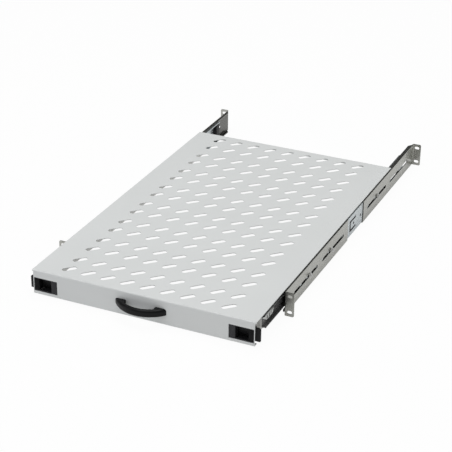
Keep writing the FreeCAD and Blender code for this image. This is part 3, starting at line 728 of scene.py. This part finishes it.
painted_lit_rail_light = (0.76, 0.76, 0.74, 1.0)
painted_lit_rail_dark = (0.68, 0.68, 0.66, 1.0)
front_end_zinc = (0.30, 0.30, 0.28, 1.0)
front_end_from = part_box("right_side_rail")[0].y
front_end_length, painted_light_full_length = 21 * mm, 35 * mm

rail_zinc, surface, place, colour = galvanised("galvanised_rail", painted_lit_rail_light, painted_lit_rail_dark,
                                               roughness=0.4, metallic=0.2)
# Painted light: behind its front end the rail is painted lighter, against the shade under the tray.
painted_light_behind_front = along_axis(place, "Y").spread(front_end_from + front_end_length, front_end_from + painted_light_full_length)
painted_light_behind_front.tint(front_end_zinc, colour).into(surface, "Base Color")
dress(rail_zinc, *both("side_rail"))


# The shelf tray: one sheet of steel, punched, folded and powder coated in light grey.
# The coat has a fine orange peel and faint clouds.

coat_light = (0.667, 0.682, 0.677, 1.0)
coat_shade = (0.627, 0.642, 0.637, 1.0)

powder, surface, place = new_finish("light_grey_powder_coat", {"Specular IOR Level": 0.4})
peel = noise(place, scale=900.0)
cloud = noise(place, scale=9.0, detail=3.0)
cloud.tint(coat_shade, coat_light).into(surface, "Base Color")
(peel * 0.12 + 0.42).into(surface, "Roughness")
bumped(surface, peel, strength=0.10, distance=0.1 * mm)
dress(powder, "shelf_tray")


# Screws that hold the inner members to the side rails: pan heads with a cross recess in the member's
# channel, and chamfered hexagon nuts on the inside of the rails. Bright zinc on plain steel.

screw_head_height = 1.7 * mm
screw_radius = 1.95 * mm
screw_pitch = 0.7 * mm

screw_low, screw_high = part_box("right_slide_screws")
nut_low, nut_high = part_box("right_slide_nuts")
screw = cross_screw((screw_high.z - screw_low.z) / 2, screw_head_height, screw_radius, screw_pitch,
                    screw_high.x - screw_low.x - screw_head_height)
nut = hexagon_nut(nut_high.z - nut_low.z, nut_high.x - nut_low.x, screw_radius + thread_play)
for side in sides:
    node = f"{side}_slide_screws"
    seat = outer_and_inner(node, side)[0] - outwards(side) * screw_head_height
    fasten(screw, node, "threaded", seat, -outwards(side), fastener_steel)
    node = f"{side}_slide_nuts"
    fasten(nut, node, "chamfered", outer_and_inner(node, side)[0], -outwards(side), fastener_steel)
for model in (screw, nut):
    bpy.data.objects.remove(model)


# The release levers, pressed from zinc-plated strip, which tilt on rivets in the inner members.
# Each rivet is turned steel, with a collar under the lever and a domed head above it.

lever_zinc = plated("dull_zinc_lever", light=(0.62, 0.63, 0.615, 1.0), dark=(0.50, 0.51, 0.50, 1.0),
                    metallic=0.85, roughness=0.3, clouds=(150.0, 4.0), grain=(1500.0, 2.0),
                    strength=0.1, depth=0.05 * mm)
dress(lever_zinc, *both("release_lever"))

rivet_web = 1.2 * mm
rivet_collar = 2.0 * mm
rivet_gap = 1.8 * mm
rivet_shank_radius = 1.6 * mm

rivet_low, rivet_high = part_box("right_lever_rivet")
rivet_head_radius = (rivet_high.z - rivet_low.z) / 2
rivet_length = rivet_high.x - rivet_low.x
rivet_collar_top = rivet_web + rivet_collar
rivet_head_at = rivet_collar_top + rivet_gap
rivet_arc = [math.radians(turn) for turn in (0, 15, 30, 45, 60, 75)]
rivet_dome_scale = (rivet_length - rivet_head_at) / math.sin(rivet_arc[-1])
rivet = turned([(0, rivet_shank_radius), (rivet_web, rivet_shank_radius), (rivet_web, rivet_head_radius),
                (rivet_collar_top, rivet_head_radius), (rivet_collar_top, rivet_shank_radius),
                (rivet_head_at, rivet_shank_radius)]
               + [(rivet_head_at + rivet_dome_scale * math.sin(turn), rivet_head_radius * math.cos(turn))
                  for turn in rivet_arc])
for side in sides:
    node = f"{side}_lever_rivet"
    low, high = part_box(node)
    middle = (low + high) / 2
    foot = (outer_and_inner(node, side)[1], middle.y, middle.z)
    stand_for(set_in(rivet, f"{node}_domed", [foot], (outwards(side), 0, 0)), node, fastener_steel)
bpy.data.objects.remove(rivet)


# The latches behind the front panel: a moulded case in each opening, a bolt with a ribbed grip that slides
# in it, and a compression spring of round wire between the two. The case is a shade lighter than the slides'
# stops, and the bolt is darker.

case_dark = (0.019, 0.019, 0.021, 1.0)
case_light = (0.027, 0.027, 0.030, 1.0)
case_rounding = 0.3 * mm
grip_dark = (0.007, 0.007, 0.0075, 1.0)
grip_light = (0.012, 0.012, 0.013, 1.0)
grip_rounding = 0.25 * mm

latch_plastic = moulding("latch_plastic", case_dark, case_light, roughness=0.40)
bolt_plastic = moulding("latch_bolt_plastic", grip_dark, grip_light, roughness=0.34, gloss=0.15)
for side in sides:
    mould(f"{side}_latch_housing", case_rounding, latch_plastic)
    mould(f"{side}_latch_bolt", grip_rounding, bolt_plastic)

wire_light = (0.42, 0.42, 0.41, 1.0)
wire_dark = (0.28, 0.28, 0.27, 1.0)

spring_wire, surface, place = new_finish("drawn_spring_wire", {"Metallic": 1.0})
cloud = noise(place, scale=700.0, detail=3.0)
cloud.tint(wire_dark, wire_light).into(surface, "Base Color")
(cloud * 0.15 + 0.25).into(surface, "Roughness")

wire_radius = 0.4 * mm
wire_corners = 10
coil_turns = 4
coil_steps = 28

spring_low, spring_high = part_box("right_latch_spring")
spring_length = spring_high.x - spring_low.x
spring_radius = (spring_high.z - spring_low.z) / 2 - wire_radius
spring = begin(bpy.ops.mesh.primitive_circle_add, vertices=wire_corners, radius=wire_radius)
bpy.ops.object.mode_set(mode="EDIT")
bpy.ops.transform.rotate(value=math.pi / 2, orient_axis="X", center_override=(0, 0, 0))
bpy.ops.transform.translate(value=(spring_radius, 0, wire_radius))
bpy.ops.object.mode_set(mode="OBJECT")
coil_pitch = (spring_length - 2 * wire_radius) / coil_turns
wind(spring, coil_pitch, coil_turns, coil_steps, join_within=0.02 * wire_radius)
bpy.ops.mesh.fill_holes(sides=0)
close_up()
for side in sides:
    node = f"{side}_latch_spring"
    low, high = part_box(node)
    middle = (low + high) / 2
    start = (outer_and_inner(node, side)[1], middle.y, middle.z)
    coil = set_in(spring, f"{node}_wound", [start], (outwards(side), 0, 0))
    stand_for(coil, node, spring_wire)
    travel = next(joint["range_m"][1] for joint in frame["joints"] if joint["name"] == f"{side}_latch_slide")
    1 - travel / spring_length
    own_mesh(coil)
bpy.data.objects.remove(spring)


# The bow handle, moulded in one piece in black plastic, with a little smoother skin than the latches.
# Two pan-head screws hold it from behind the panel.

handle_dark = (0.004, 0.004, 0.0045, 1.0)
handle_light = (0.008, 0.008, 0.0085, 1.0)
handle_screw_head_height = 2.4 * mm
handle_screw_radius = 1.95 * mm
handle_screw_pitch = 1.0 * mm

handle_plastic = moulding("handle_plastic", handle_dark, handle_light, roughness=0.30, gloss=0.15)
dress(handle_plastic, "handle")

node = "handle_screws"
screw_low, screw_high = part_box(node)
screw = cross_screw((screw_high.z - screw_low.z) / 2, handle_screw_head_height, handle_screw_radius,
                    handle_screw_pitch, screw_high.y - screw_low.y - handle_screw_head_height)
seat_y = screw_high.y - handle_screw_head_height
screw_z = (screw_low.z + screw_high.z) / 2
screws = set_in(screw, f"{node}_threaded", [(x, seat_y, screw_z) for x in middles(node, 0)], (0, -1, 0))
stand_for(screws, node, fastener_steel)
bpy.data.objects.remove(screw)
